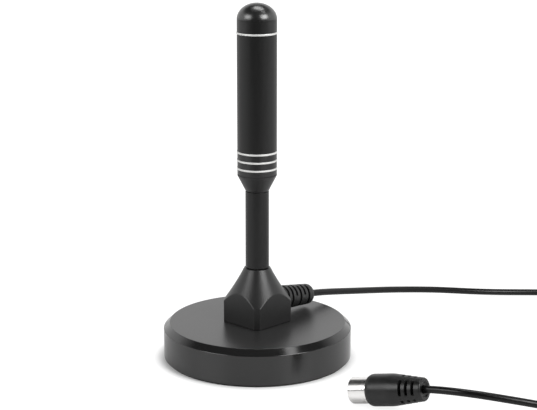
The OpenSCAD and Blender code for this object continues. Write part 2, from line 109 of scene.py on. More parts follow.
# Coil: its middle, its mean diameter, the height of its underside, and its turns side by side and
# one over another, of which the last place stays empty
coil_place = (149.1, 12)
coil_mean_d = 32.4
coil_z = 0.55
turns_wide = 3
turns_high = 4
turns = turns_wide * turns_high - 1
# Where a turn of the lowest layer starts to move over, how much earlier each layer above it does,
# and how long a move is, in degrees
move_start = 300
move_lead = 80
move_arc = 40


def smoothed(route, rounds=3, eases=24):
    """A route with a point added midway between each two neighbours, again in each round: nine
    parts of the two nearest points, less one part of the two next ones, over sixteen. Then each
    point but the ends moves halfway to the middle of its neighbours, once for each ease."""
    points = np.array(route, float)
    for _ in range(rounds):
        before = np.vstack([points[:1], points[:-2]])
        after = np.vstack([points[2:], points[-1:]])
        middle = (9 * (points[:-1] + points[1:]) - before - after) / 16
        finer = np.empty((2 * len(points) - 1, 3))
        finer[0::2] = points
        finer[1::2] = middle
        points = finer
    for _ in range(eases):
        points[1:-1] = points[1:-1] / 2 + (points[:-2] + points[2:]) / 4
    return points


def eased(share):
    """Smooth step: 0 below 0, 1 above 1, and 3s^2 - 2s^3 between."""
    s = np.clip(share, 0, 1)
    return s * s * (3 - 2 * s)


def winding(steps=48):
    """Middle line of the coil. Each turn lies in one place of the bundle, three places wide and
    four high, filled from the outside in and then back out, layer on layer. Towards the end of a
    turn the lead moves to the next place. Upper turns move before lower ones, and the turn that
    climbs to the next layer moves after those above it, so a place is empty when it is taken."""
    turn = np.arange(turns * steps + 1) / steps
    number = np.minimum(turn.astype(int), turns - 1)
    angle = 360 * (turn - number)

    def place(k):
        """Column and layer of turn k."""
        layer = k // turns_wide
        step = k % turns_wide
        return np.where(layer % 2 == 0, step, turns_wide - 1 - step), layer

    column, layer = place(number)
    next_column, next_layer = place(number + 1)
    climbs = next_layer > layer
    starts = move_start - move_lead * layer - move_arc * climbs
    share = eased((angle - starts) / move_arc)
    column = column + (next_column - column) * share
    layer = layer + (next_layer - layer) * share
    radius = coil_mean_d / 2 + lead_d * ((turns_wide - 1) / 2 - column)
    theta = TURN * turn
    return np.stack([coil_place[0] + radius * np.cos(theta),
                     coil_place[1] - radius * np.sin(theta),
                     coil_z + lead_d * (0.5 + layer)], axis=1)


lead_line = np.vstack([smoothed(lead_antenna_route), winding(), smoothed(lead_plug_route)])


def strand(name, line, diameter):
    """Round strand along a line of points: a bevelled curve of one spline, in metres."""
    data = bpy.data.curves.new(name, "CURVE")
    data.dimensions = "3D"
    data.bevel_depth = diameter / 2 * MM
    data.bevel_resolution = 6
    data.use_fill_caps = True
    data.twist_mode = "MINIMUM"
    spline = data.splines.new("POLY")
    spline.points.add(len(line) - 1)
    spline.points.foreach_set("co", np.column_stack([line * MM, np.ones(len(line))]).ravel())
    spline.use_smooth = True
    return placed(name, data)


# Surfaces
def rounded(corners, steps=8, hold=0.12):
    """Outline from corners (x, y, radius). A corner with a radius becomes an arc, in the steps
    given, that touches both its sides. Each side longer than three holds gets a point one hold
    from either end, which keeps its shading flat."""
    made = []
    count = len(corners)
    for i, (x, y, radius) in enumerate(corners):
        here = np.array([x, y], float)
        if radius == 0:
            made.append(here[None])
            continue
        back = np.array(corners[i - 1][:2], float) - here
        ahead = np.array(corners[(i + 1) % count][:2], float) - here
        back /= np.hypot(*back)
        ahead /= np.hypot(*ahead)
        half = math.acos(float(np.clip(back @ ahead, -1, 1))) / 2
        middle = here + (back + ahead) / np.hypot(*(back + ahead)) * radius / math.sin(half)
        first = here + back * radius / math.tan(half) - middle
        last = here + ahead * radius / math.tan(half) - middle
        start = math.atan2(first[1], first[0])
        sweep = (math.atan2(last[1], last[0]) - start + math.pi) % TURN - math.pi
        angles = start + sweep * np.linspace(0, 1, steps + 1)
        made.append(middle + radius * np.stack([np.cos(angles), np.sin(angles)], axis=1))
    points = np.vstack(made)
    following = np.roll(points, -1, axis=0)
    length = np.hypot(*(following - points).T)[:, None]
    inset = np.minimum(hold / np.maximum(length, TINY), 0.5)
    along = (following - points) * inset
    held = np.stack([points, points + along, following - along], axis=1)
    long_side = length[:, 0] > 3 * hold
    keep = np.stack([np.ones(len(points), bool), long_side, long_side], axis=1)
    return held[keep]


def solid(name, points, faces, axes=None, origin=(0, 0, 0)):
    """Closed mesh from points in millimetres and lists of faces, turned so that its faces point
    outwards: their signed volume is above zero. axes holds the piece's own X, Y and Z."""
    points = np.asarray(points, float)
    if axes is not None:
        points = points @ np.asarray(axes, float)
    points = points + np.asarray(origin, float)
    volume = 0.0
    for group in faces:
        corner = points[group]
        for k in range(1, group.shape[1] - 1):
            volume += np.einsum("ij,ij->", corner[:, 0], np.cross(corner[:, k], corner[:, k + 1]))
    made = [group if volume > 0 else group[:, ::-1] for group in faces]
    mesh = bpy.data.meshes.new(name)
    mesh.from_pydata((points * MM).tolist(), [], [f for group in made for f in group.tolist()])
    mesh.update()
    mesh.validate()
    mesh.shade_smooth()
    return placed(name, mesh)


def skin(name, grid, poles=False, axes=None, origin=(0, 0, 0)):
    """Closed skin over a grid of points, rows by columns, whose columns close round. The last row
    joins the first, or with poles the first and last rows are one point each."""
    columns = grid.shape[1]
    around = np.roll(np.arange(columns), -1)
    body = grid[1:-1] if poles else grid
    index = np.arange(len(body) * columns).reshape(-1, columns)
    near = index[:-1] if poles else index
    far = index[1:] if poles else np.roll(index, -1, axis=0)
    quads = np.stack([near, near[:, around], far[:, around], far], axis=-1).reshape(-1, 4)
    if not poles:
        return solid(name, body.reshape(-1, 3), [quads], axes, origin)
    pole = np.full(columns, index.size)
    low_fan = np.stack([pole, index[0][around], index[0]], axis=-1)
    high_fan = np.stack([pole + 1, index[-1], index[-1][around]], axis=-1)
    points = np.vstack([body.reshape(-1, 3), grid[:1, 0], grid[-1:, 0]])
    return solid(name, points, [quads, np.vstack([low_fan, high_fan])], axes, origin)


def round_grid(radius, angle, height):
    """Grid of points round the axis, from a radius for each height (row) and angle (column)."""
    angle, height = np.broadcast_arrays(angle[None, :], height[:, None])
    return np.stack([radius * np.cos(angle), radius * np.sin(angle), height], axis=-1)


def turned(name, profile, columns=192, axes=None, origin=(0, 0, 0)):
    """Surface of revolution: each profile point (radius, height) is carried round the axis. An
    outline that starts and ends on the axis closes in poles, and any other closes on itself."""
    profile = np.asarray(profile, float)
    angle = TURN * np.arange(columns) / columns
    poles = profile[0, 0] < TINY and profile[-1, 0] < TINY
    return skin(name, round_grid(profile[:, :1], angle, profile[:, 1]), poles, axes, origin)


def creased(piece, degrees):
    """Marks the edges that bend by more than an angle as sharp."""
    piece.data.set_sharp_from_angle(angle=math.radians(degrees))
    return piece


def span(node):
    """Outer radius, lowest and highest height of a node that stands on the mast's axis, in mm."""
    low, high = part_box(node)
    return high.x / MM, low.z / MM, high.z / MM


def aside(distance, degrees, height, middle=(0, 0)):
    """Point at a distance from a middle, at a turn round it and at a height."""
    a = math.radians(degrees)
    return (middle[0] + distance * math.cos(a), middle[1] + distance * math.sin(a), height)


def direction_axes(turn_z, tilt=0):
    """X, Y and Z axes, as rows, of a frame tilted about Y and then turned about Z, in degrees."""
    a = math.radians(turn_z)
    b = math.radians(tilt)
    spin = np.array([[math.cos(a), -math.sin(a), 0], [math.sin(a), math.cos(a), 0], [0, 0, 1]])
    lean = np.array([[math.cos(b), 0, math.sin(b)], [0, 1, 0], [-math.sin(b), 0, math.cos(b)]])
    return (spin @ lean).T


# Sizes read from the frame, and the height of the cap's skirt
base_r, pad_top, base_h = span("base_housing")
mount_top_z = span("mast_mount")[2]
stem_r, stem_z, neck_z = span("mast_stem")
tube_r, tube_z, tube_top = span("mast_tube")
ring_1_z = span("trim_ring_1")[1]
cap_z = span("trim_ring_4")[2]
cap_top = span("dome_cap")[2]
skirt_h = 4.75
skirt_top = cap_z + skirt_h


# Finishes: the roughness of every noise, the hard plastics' refraction, and how far down the
# housing its top's grain and painted sheen go
noise_rough = 0.55
hard_ior = 1.55
grain_and_sheen_h = 0.1


def tree_of(material):
    """Node tree of a material, with its Principled shader."""
    return material.node_tree, material.node_tree.nodes["Principled BSDF"]


def plain_finish(name, colour, roughness, metallic=0.0, ior=1.5):
    """Material whose constants sit on the shader's own sockets."""
    material = bpy.data.materials.new(name)
    material.use_nodes = True
    shader = tree_of(material)[1]
    shader.inputs["Base Color"].default_value = (*colour, 1)
    shader.inputs["Roughness"].default_value = roughness
    shader.inputs["Metallic"].default_value = metallic
    shader.inputs["IOR"].default_value = ior
    return material


def object_point(tree, stretch=(1, 1, 1)):
    """Object coordinates in millimetres, stretched along each axis."""
    coordinates = tree.nodes.new("ShaderNodeTexCoord")
    scale = tree.nodes.new("ShaderNodeVectorMath")
    scale.operation = "MULTIPLY"
    scale.inputs[1].default_value = [s / MM for s in stretch]
    tree.links.new(coordinates.outputs["Object"], scale.inputs[0])
    return scale.outputs["Vector"]


def noise(tree, size, detail=3.0, stretch=(1, 1, 1)):
    """Noise from 0 to 1 whose features are about size millimetres across."""
    texture = tree.nodes.new("ShaderNodeTexNoise")
    texture.inputs["Scale"].default_value = 1 / size
    texture.inputs["Detail"].default_value = detail
    texture.inputs["Roughness"].default_value = noise_rough
    tree.links.new(object_point(tree, stretch), texture.inputs["Vector"])
    return texture.outputs["Fac"]


def spread(tree, value, low, high, start=0.25, end=0.75):
    """Value from start to end, mapped to low to high."""
    ramp = tree.nodes.new("ShaderNodeMapRange")
    ramp.inputs["From Min"].default_value = start
    ramp.inputs["From Max"].default_value = end
    ramp.inputs["To Min"].default_value = low
    ramp.inputs["To Max"].default_value = high
    tree.links.new(value, ramp.inputs["Value"])
    return ramp.outputs["Result"]


def joined(tree, one, two, operation="MULTIPLY"):
    """Two values multiplied, or joined by another operation."""
    node = tree.nodes.new("ShaderNodeMath")
    node.operation = operation
    tree.links.new(one, node.inputs[0])
    tree.links.new(two, node.inputs[1])
    return node.outputs["Value"]


def blend_colour(tree, factor, low, high):
    """Colour from low to high by a factor."""
    mix = tree.nodes.new("ShaderNodeMix")
    mix.data_type = "RGBA"
    mix.inputs["A"].default_value = (*low, 1)
    mix.inputs["B"].default_value = (*high, 1)
    tree.links.new(factor, mix.inputs["Factor"])
    return mix.outputs["Result"]


def vary_colour(tree, shader, colour, value, least, most):
    """Base colour that a value from 0 to 1 takes from least to most times the colour."""
    low = [c * least for c in colour]
    high = [c * most for c in colour]
    tree.links.new(blend_colour(tree, value, low, high), shader.inputs["Base Color"])


def vary_sheen(tree, shader, value, low, high):
    """Roughness that a noise takes from low to high."""
    tree.links.new(spread(tree, value, low, high), shader.inputs["Roughness"])


def relief_of(tree, shader, height, depth, below=None):
    """Bump of depth millimetres from a height of 0 to 1, on top of any bump below it."""
    bump = tree.nodes.new("ShaderNodeBump")
    bump.inputs["Strength"].default_value = 1.0
    bump.inputs["Distance"].default_value = depth * MM
    tree.links.new(height, bump.inputs["Height"])
    if below is not None:
        tree.links.new(below, bump.inputs["Normal"])
    tree.links.new(bump.outputs["Normal"], shader.inputs["Normal"])
    return bump.outputs["Normal"]


def height_step(tree, height, low, high, blend=0.08):
    """Value that goes from low to high where the object's height passes the one given."""
    split = tree.nodes.new("ShaderNodeSeparateXYZ")
    tree.links.new(object_point(tree), split.inputs["Vector"])
    return spread(tree, split.outputs["Z"], low, high, height - blend / 2, height + blend / 2)


def moulded_finish(name, colour, roughness, grain=0.16, depth=0.006, ior=1.5):
    """Moulded plastic with a fine eroded grain, slow changes of sheen and faint cloudiness."""
    material = plain_finish(name, colour, roughness, ior=ior)
    tree, shader = tree_of(material)
    fine = noise(tree, grain, detail=2.0)
    slow = noise(tree, size=9.0)
    vary_colour(tree, shader, colour, spread(tree, fine, 0, 1), least=0.75, most=1.25)
    vary_sheen(tree, shader, slow, roughness - 0.03, roughness + 0.03)
    relief_of(tree, shader, fine, depth)
    return material


def housing_finish(name, colour, top_roughness, side_roughness):
    """Housing: a satin grained top face and a polished bevel and side with slow sink marks. The
    top's grain is painted paler than the side, about twice its colour, as a painted sheen."""
    material = plain_finish(name, colour, side_roughness, ior=hard_ior)
    tree, shader = tree_of(material)
    edge_z = base_h - grain_and_sheen_h
    on_top = height_step(tree, edge_z, 0, 1)
    fine = noise(tree, size=0.22, detail=2.0)
    slow = noise(tree, size=11.0, detail=2.0)
    wear = spread(tree, noise(tree, size=0.6, detail=4.0), low=0.9, high=1.12)
    sheen = height_step(tree, edge_z, side_roughness, top_roughness)
    tree.links.new(joined(tree, sheen, wear), shader.inputs["Roughness"])
    # Painted sheen: the top face's grain is painted about twice as pale as the side's colour
    tone_and_painted_light = joined(tree, spread(tree, fine, low=0.3, high=0.7), on_top)
    vary_colour(tree, shader, colour, tone_and_painted_light, least=1, most=3)
    below = relief_of(tree, shader, joined(tree, fine, on_top), depth=0.0025)
    relief_of(tree, shader, slow, depth=0.006, below=below)
    return material


def cap_finish(name, colour, dome_roughness, skirt_roughness):
    """Cap: a polished rounded top above a satin turned skirt."""
    material = plain_finish(name, colour, dome_roughness, ior=hard_ior)
    tree, shader = tree_of(material)
    wear = spread(tree, noise(tree, size=0.35, detail=4.0), low=0.94, high=1.08)
    swell = noise(tree, size=2.4, detail=1.0)
    sheen = height_step(tree, skirt_top, skirt_roughness, dome_roughness, blend=0.04)
    shine = height_step(tree, skirt_top, low=0.4, high=0.75, blend=0.04)
    tree.links.new(joined(tree, sheen, wear), shader.inputs["Roughness"])
    tree.links.new(shine, shader.inputs["Specular IOR Level"])
    relief_of(tree, shader, swell, depth=0.002)
    return material


def anodised_finish(name, colour, roughness, ior):
    """Black anodised tube: a fine bead-blasted grain with faint drawing streaks along the tube."""
    material = plain_finish(name, colour, roughness, ior=ior)
    tree, shader = tree_of(material)
    grain = noise(tree, size=0.12, detail=2.0)
    streak = noise(tree, size=0.5, stretch=(1, 1, 0.02))
    vary_sheen(tree, shader, streak, roughness - 0.04, roughness + 0.04)
    vary_colour(tree, shader, colour, spread(tree, grain, 0, 1), least=0.8, most=1.2)
    below = relief_of(tree, shader, grain, depth=0.004)
    relief_of(tree, shader, streak, depth=0.003, below=below)
    return material


def plated_finish(name, colour, roughness, depth=0.001, metallic=1.0):
    """Bright metal with fine lines round its axis and a few handling marks."""
    material = plain_finish(name, colour, roughness, metallic)
    tree, shader = tree_of(material)
    lines = noise(tree, size=1.2, detail=2.0, stretch=(0.3, 0.3, 2.0))
    marks = noise(tree, size=0.7, detail=4.0)
    vary_sheen(tree, shader, marks, roughness * 0.7, roughness * 1.4)
    relief_of(tree, shader, lines, depth)
    return material


def glossy_finish(name, colour, roughness):
    """Polished moulding with a faint orange-peel swell and hairline wear in its sheen."""
    material = plain_finish(name, colour, roughness)
    tree, shader = tree_of(material)
    swell = noise(tree, size=2.4, detail=1.0)
    wear = noise(tree, size=0.35, detail=4.0)
    vary_sheen(tree, shader, wear, roughness * 0.8, roughness * 1.3)
    relief_of(tree, shader, swell, depth=0.002)
    return material


def soft_finish(name, colour, roughness, grain=0.3, depth=0.01, ior=1.48):
    """Soft PVC or rubber: matte, with a fine moulded grain and a little bloom."""
    material = plain_finish(name, colour, roughness, ior=ior)
    tree, shader = tree_of(material)
    fine = noise(tree, grain)
    bloom = noise(tree, size=4.0)
    vary_colour(tree, shader, colour, spread(tree, bloom, 0, 1), least=0.8, most=1.3)
    vary_sheen(tree, shader, bloom, roughness - 0.04, roughness + 0.05)
    relief_of(tree, shader, fine, depth)
    return material


def grey(level):
    """Neutral colour."""
    return (level, level, level)


# Finish of each slot: its kind, its colour and what else the kind is given
slot_finishes = {
    "base_gloss": (housing_finish, grey(0.009), {"top_roughness": 0.32, "side_roughness": 0.13}),
    "mount_satin": (moulded_finish, grey(0.010), {"roughness": 0.38, "ior": 1.44}),
    "mast_black": (anodised_finish, grey(0.007), {"roughness": 0.37, "ior": 1.39}),
    "neck_black": (moulded_finish, grey(0.010), {"roughness": 0.38, "grain": 0.14, "depth": 0.004}),
    "band_black": (glossy_finish, grey(0.004), {"roughness": 0.36}),
    "cap_gloss": (cap_finish, grey(0.006), {"dome_roughness": 0.29, "skirt_roughness": 0.33}),
    "trim_bright": (plated_finish, (0.65, 0.65, 0.64),
                    {"roughness": 0.5, "depth": 0.0001, "metallic": 0.45}),
    "relief_pvc": (soft_finish, grey(0.012), {"roughness": 0.46}),
    "lead_pvc": (soft_finish, grey(0.002),
                 {"roughness": 0.3, "grain": 0.5, "depth": 0.002, "ior": 1.34}),
    "plug_pvc": (soft_finish, grey(0.005),
                 {"roughness": 0.34, "grain": 0.2, "depth": 0.005, "ior": 1.41}),
    "plug_nickel": (plated_finish, (0.80, 0.79, 0.78), {"roughness": 0.17, "depth": 0.0001}),
    "insulator_white": (soft_finish, (0.80, 0.80, 0.76),
                        {"roughness": 0.5, "grain": 0.2, "depth": 0.004}),
    "tie_black": (soft_finish, grey(0.014), {"roughness": 0.8, "grain": 0.12, "depth": 0.05}),
    "pad_rubber": (soft_finish, grey(0.008), {"roughness": 0.7, "grain": 0.25, "depth": 0.03}),
    "cover_black": (moulded_finish, grey(0.022), {"roughness": 0.5}),
    "magnet_grey": (moulded_finish, (0.05, 0.05, 0.055),
                    {"roughness": 0.7, "grain": 0.3, "depth": 0.02}),
    "zinc_steel": (plated_finish, (0.52, 0.53, 0.55), {"roughness": 0.35}),
    "turned_brass": (plated_finish, (0.70, 0.50, 0.22), {"roughness": 0.25}),
    "bare_copper": (plated_finish, (0.75, 0.42, 0.28), {"roughness": 0.25}),
}
finishes = {slot: make(slot, colour, **rest)
            for slot, (make, colour, rest) in slot_finishes.items()}


def paint(thing, slot):
    """Gives an object the finish of a slot."""
    thing.data.materials.clear()
    thing.data.materials.append(finishes[slot])


def dress(piece, slot, *nodes):
    """Gives a piece its finish and has it ride on the part, in place of the nodes named."""
    paint(piece, slot)
    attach(piece, "root")
    if nodes:
        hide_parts(*nodes)
    return piece


# Every node of the frame gets the finish of its slot in the record
for row in frame["record"]["subparts"]:
    paint(frame["nodes"][row["node"]], row["material_slot"])


# Base: its bevel, walls and hole, and the radii of its edges
bevel_w = 2.35
bevel_h = 2.2
base_wall = 2.0
base_top_t = 2.4
hub_hole_r = 6.3
rim_ease = 0.15
foot_ease = 0.4
bevel_ease = 0.35
top_ease = 0.3
hole_ease = 0.1
ceiling_ease = 0.6
pad_low_ease = 0.25
pad_high_ease = 0.1


def make_base():
    """Housing: an outline of wall, bevel and top, carried round, and open below."""
    inside_r = base_r - base_wall
    ceiling = base_h - base_top_t
    outline = rounded([
        (inside_r, pad_top, rim_ease), (base_r, pad_top, foot_ease),
        (base_r, base_h - bevel_h, bevel_ease), (base_r - bevel_w, base_h, top_ease),
        (hub_hole_r, base_h, hole_ease), (hub_hole_r, ceiling, hole_ease),
        (inside_r, ceiling, ceiling_ease)])
    dress(turned("base_shell", outline, columns=320), "base_gloss", "base_housing")


def make_foot_pad():
    """Pad: a disc with a rounded rim, closed at both middles."""
    radius, low, high = span("foot_pad")
    outline = rounded([(0, low, 0), (radius, low, pad_low_ease), (radius, high, pad_high_ease),
                       (0, high, 0)])
    dress(turned("foot_disc", outline, columns=256), "pad_rubber", "foot_pad")


# Mount: distances of its faces and cut corners from the axis, the cone's radius at the top and how
# it grows, the radius of its edges, and the turn of its first face
mount_flat = 10.0
mount_corner = 12.95
mount_top_r = 5.0
mount_spread = 0.5
mount_flare = 0.0083
mount_ease = 0.16
face_turn = 45
# Its foot edge and top edge, and the holes up its middle: stud, bush, hollow and hub
mount_foot = 0.25
mount_top_ease = 0.3
stud_hole_r = 2.6
bush_hole_r = 4.02
bush_hole_h = 6.5
hollow_r = 5.2
hollow_h = 9.6
hub_r = 6.2
hub_ease = 0.2
hub_low_ease = 0.1
# Its rows of points: the rim's height, the gap below it, the height where closer rows start, how
# many lie above and below that, and the foot's curl with the turn of its first row
rim_h = 1.2
rim_gap = 0.25
arch_z = 27.6
arch_gap = 0.1
cone_rows = 18
arch_rows = 96
foot_rows = 5
foot_turn = 18
# How far out from the axis its radius is looked for, and in how many halvings
search_reach = 16.0
halvings = 26


def mount_radius(turn, height):
    """Radius of the mount at a turn round its axis, in degrees, and a height. The cone's radius is
    its top radius, plus the depth below the top times mount_spread, plus the depth squared times
    mount_flare. The mount's radius is the one at which a rounded greatest value of nine distances
    is zero: the distances outside the four flat faces, the four cut corners and the cone. The
    rounded greatest value is the root of the sum of squares of the distances that lie within
    mount_ease of the surface. It is found by halving."""
    turn, height = np.broadcast_arrays(turn, height)
    depth = mount_top_z - height
    cone_r = mount_top_r + mount_spread * depth + mount_flare * depth ** 2
    lean = 1 / np.hypot(1, mount_spread + 2 * mount_flare * depth)
    low = np.zeros(turn.shape)
    high = np.full(turn.shape, search_reach)
    for _ in range(halvings):
        middle = (low + high) / 2
        total = np.maximum((middle - cone_r) * lean + mount_ease, 0) ** 2
        for k in range(4):
            for facing, distance in ((face_turn + 90 * k, mount_flat), (90 * k, mount_corner)):
                out = middle * np.cos(np.radians(turn - facing)) - distance
                total = total + np.maximum(out + mount_ease, 0) ** 2
        outside = total > mount_ease ** 2
        high = np.where(outside, middle, high)
        low = np.where(outside, low, middle)
    return (low + high) / 2


def make_mount():
    """Mount: rows over its top, down its outside, round its foot and up through its hollow. Only
    the rows of the outside and the foot have a radius that changes round the axis."""
    columns = 512
    turn = 360 * np.arange(columns) / columns
    hollow_top = base_h + hollow_h
    bush_top = hollow_top + bush_hole_h
    hub_low = base_h - base_top_t
    past = 2.0
    top = rounded([(stud_hole_r, mount_top_z, 0), (mount_top_r, mount_top_z, mount_top_ease),
                   (mount_top_r + past, mount_top_z - past / mount_spread, 0)])[:-2]
    top = top[top[:, 1] > mount_top_z - rim_h]
    heights = np.concatenate([
        np.linspace(top[-1, 1] - rim_gap, arch_z, cone_rows),
        np.linspace(arch_z - arch_gap, base_h + mount_foot, arch_rows)])
    outside = mount_radius(turn[None, :], heights[:, None])
    curl = np.radians(np.linspace(foot_turn, 90, foot_rows))
    foot = outside[-1] - mount_foot * (1 - np.cos(curl))[:, None]
    foot_heights = base_h + mount_foot * (1 - np.sin(curl))
    inner = rounded([
        (hub_r, base_h, 0), (hub_r, hub_low, hub_ease), (hollow_r, hub_low, hub_low_ease),
        (hollow_r, hollow_top, 0), (bush_hole_r, hollow_top, 0), (bush_hole_r, bush_top, 0),
        (stud_hole_r, bush_top, 0)])
    radius = np.vstack([np.repeat(top[:, :1], columns, axis=1), outside, foot,
                        np.repeat(inner[:, :1], columns, axis=1)])
    levels = np.concatenate([top[:, 1], heights, foot_heights, inner[:, 1]])
    block = skin("mount_block", round_grid(radius, np.radians(turn), levels))
    dress(creased(block, degrees=50), "mount_satin", "mast_mount")


# Mast: its tubes, spigots and grooves, and the gap at pieces that slide into one another
fit = 0.02
stem_bore_r = 3.2
stem_chamfer = 0.35
stem_ease = 0.15
stem_bore_ease = 0.1
tube_bore_r = 6.3
tube_ease = 0.1
rod_hole_r = 1.8
spigot_r = 6.2
spigot_bore_r = 4.8
spigot_l = 8
spigot_chamfer = 0.4
seam = 0.12
groove_pitch = 0.47
groove_depth = 0.035


def grooved(radius, low, high, steps=10):
    """Outline of a turned face from low to high: a radius less a shallow cosine groove."""
    count = round((high - low) / groove_pitch)
    height = np.linspace(low, high, count * steps + 1)
    wave = 0.5 - 0.5 * np.cos(TURN * count * (height - low) / (high - low))
    return np.stack([radius - groove_depth * wave, height], axis=1)


def make_stem():
    """Slim tube with a chamfer at its foot, which shows as a dark line."""
    outline = rounded([
        (stem_bore_r, stem_z, stem_bore_ease), (stem_r - stem_chamfer, stem_z, stem_bore_ease),
        (stem_r, stem_z + stem_chamfer, stem_ease), (stem_r, neck_z, stem_ease),
        (stem_bore_r, neck_z, stem_bore_ease)])
    dress(turned("stem_tube", outline, columns=160), "mast_black", "mast_stem")


# Neck: its collar, flare and lower spigot, and the sloping floor between its two bores. The
# flare's outline is kept outside flare_inset and below flare_end.
collar_h = 2.45
collar_z = ring_1_z - collar_h
collar_start = 0.75
collar_gap = 0.06
neck_step = 0.2
neck_ease = 0.12
flare_ease = 0.8
flare_inset = 0.6
flare_end = 0.65
low_chamfer = 0.3
floor_rise = 1
floor_drop = 1.5


def make_neck():
    """Neck: flare, grooved collar, spigot in the wide tube, hole for the rod and spigot in the
    slim tube."""
    top_z = span("mast_neck")[2]
    low_r = stem_bore_r - fit
    low_z = neck_z - spigot_l
    flare = rounded([
        (stem_r - neck_step, neck_z, neck_ease), (tube_r, collar_z, flare_ease),
        (tube_r, collar_z + 1, 0), (rod_hole_r, collar_z + 1, 0)])
    flare = flare[(flare[:, 0] > stem_r - flare_inset) & (flare[:, 1] < collar_z + flare_end)]
    collar = grooved(tube_r, collar_z + collar_start, ring_1_z - collar_gap)
    inner = np.array([
        (tube_r - seam, ring_1_z), (spigot_r, ring_1_z), (spigot_r, top_z - spigot_chamfer),
        (spigot_r - spigot_chamfer, top_z), (spigot_bore_r, top_z),
        (spigot_bore_r, ring_1_z + floor_rise), (rod_hole_r, ring_1_z - floor_drop),
        (rod_hole_r, low_z), (low_r - low_chamfer, low_z), (low_r, low_z + low_chamfer),
        (low_r, neck_z)])
    piece = turned("neck_flare", np.vstack([flare, collar, inner]))
    dress(creased(piece, degrees=40), "neck_black", "mast_neck")


def make_rings():
    """Four bright rings with full rounded rims, each edge's radius a share of its height."""
    rim_share = 0.3
    for number in range(1, 5):
        node = f"trim_ring_{number}"
        radius, low, high = span(node)
        soft = rim_share * (high - low)
        outline = rounded([(tube_bore_r, low, 0), (radius, low, soft), (radius, high, soft),
                           (tube_bore_r, high, 0)], hold=0.04)
        dress(turned(f"bright_ring_{number}", outline), "trim_bright", node)


def make_bands():
    """Two black bands, finely turned round, between the bright rings."""
    edge = 0.08
    for number in (1, 2):
        node = f"spacer_band_{number}"
        radius, low, high = span(node)
        outline = np.vstack([
            [(tube_bore_r, low), (radius - edge, low)], grooved(radius, low + edge, high - edge),
            [(radius - edge, high), (tube_bore_r, high)]])
        band = creased(turned(f"turned_band_{number}", outline), degrees=60)
        dress(band, "band_black", node)


def make_tube():
    """Wide tube with eased ends."""
    outline = rounded([(tube_bore_r, tube_z, 0), (tube_r, tube_z, tube_ease),
                       (tube_r, tube_top, tube_ease), (tube_bore_r, tube_top, 0)], steps=4)
    dress(turned("upper_tube", outline), "mast_black", "mast_tube")


# Cap: the depth of its crease, how far the dome stands in from the skirt, the height of its floor,
# the gap between a row of points and an edge, which keeps the skirt's shading flat, and the first
# turn of the dome's curve and its rows
cap_crease = 0.07
dome_inset = 0.01
cap_floor = 1
skirt_hold = 0.3
dome_turn = 4
dome_rows = 44


def make_cap():
    """Cap: hollow spigot, straight skirt, a fine crease and a half-ellipse top."""
    rise = cap_top - skirt_top
    bend = np.radians(np.linspace(dome_turn, 90, dome_rows))
    dome = np.stack([tube_r * np.cos(bend), skirt_top + rise * np.sin(bend)], axis=1)
    dome[-1, 0] = 0
    low = cap_z - spigot_l
    inner = np.array([
        (0, cap_z + cap_floor), (spigot_bore_r, cap_z + cap_floor), (spigot_bore_r, low),
        (spigot_r - spigot_chamfer, low), (spigot_r, low + spigot_chamfer), (spigot_r, cap_z),
        (tube_r - seam, cap_z), (tube_r, cap_z + seam), (tube_r, cap_z + skirt_hold),
        (tube_r, skirt_top - skirt_hold), (tube_r, skirt_top - cap_crease),
        (tube_r - cap_crease, skirt_top), (tube_r - dome_inset, skirt_top + cap_crease)])
    piece = turned("cap_dome", np.vstack([inner, dome]))
    dress(creased(piece, degrees=35), "cap_gloss", "dome_cap")


# Slotted sleeves: the width of a slot's wall along the sleeve and, in degrees, round it, and the
# arc from column to column. The lead's hole narrows to seal_r inside, where the lead hides it.
wall_w = 0.14
wall_arc = 3
column_arc = 4.0
lead_hole_r = lead_d / 2 + 0.05
seal_r = 0.4
lead_hole_ease = 0.1


def wall_steps(edge, width):
    """Five places across a slot's wall, which is centred on the slot's edge."""
    return edge + width * np.linspace(-0.5, 0.5, 5)


def slotted(name, profile, slots, core_r, inner, axes, origin, row_gap=0.6):
    """Sleeve with slots. Its radius at a place along it and a turn round it is the profile's
    radius, lowered to core_r where both the place and the turn lie in a slot, with walls that
    follow a smooth step. slots holds (middle, width, count, arc, first turn), and inner is
    the rest of the outline, which closes it."""
    profile = np.asarray(profile, float)
    places = []
    turns_at = [np.arange(0, 360, column_arc)]
    for middle, width, count, arc, start in slots:
        places += [wall_steps(middle + side * width, wall_w) for side in (-0.5, 0.5)]
        turns_at += [wall_steps(start + 360 * k / count + side * arc, wall_arc) % 360
                     for k in range(count) for side in (-0.5, 0.5)]
    low, high = profile[:, 1].min(), profile[:, 1].max()
    places += [profile[:, 1], np.arange(low, high, row_gap)]
    place = np.unique(np.round(np.concatenate(places), 4))
    place = place[(place >= low) & (place <= high)]
    turn = np.unique(np.round(np.concatenate(turns_at), 4))
    order = np.argsort(profile[:, 1], kind="stable")
    outer = np.interp(place, profile[order, 1], profile[order, 0])
    depth = np.zeros((len(place), len(turn)))
    for middle, width, count, arc, start in slots:
        along = eased((width / 2 - np.abs(place - middle)) / wall_w + 0.5)
        middles = start + 360 * np.arange(count) / count
        away = np.abs((turn[:, None] - middles + 180) % 360 - 180).min(axis=1)
        across = eased((arc / 2 - away) / wall_arc + 0.5)
        depth = np.maximum(depth, along[:, None] * across[None, :])
    radius = outer[:, None] - depth * np.maximum(outer[:, None] - core_r, 0)
    if profile[0, 1] > profile[-1, 1]:
        place = place[::-1]
        radius = radius[::-1]
    inner = np.asarray(inner, float)
    radius = np.vstack([radius, np.repeat(inner[:, :1], len(turn), axis=1)])
    place = np.concatenate([place, inner[:, 1]])
    grid = round_grid(radius, np.radians(turn), place)
    return creased(skin(name, grid, axes=axes, origin=origin), degrees=50)


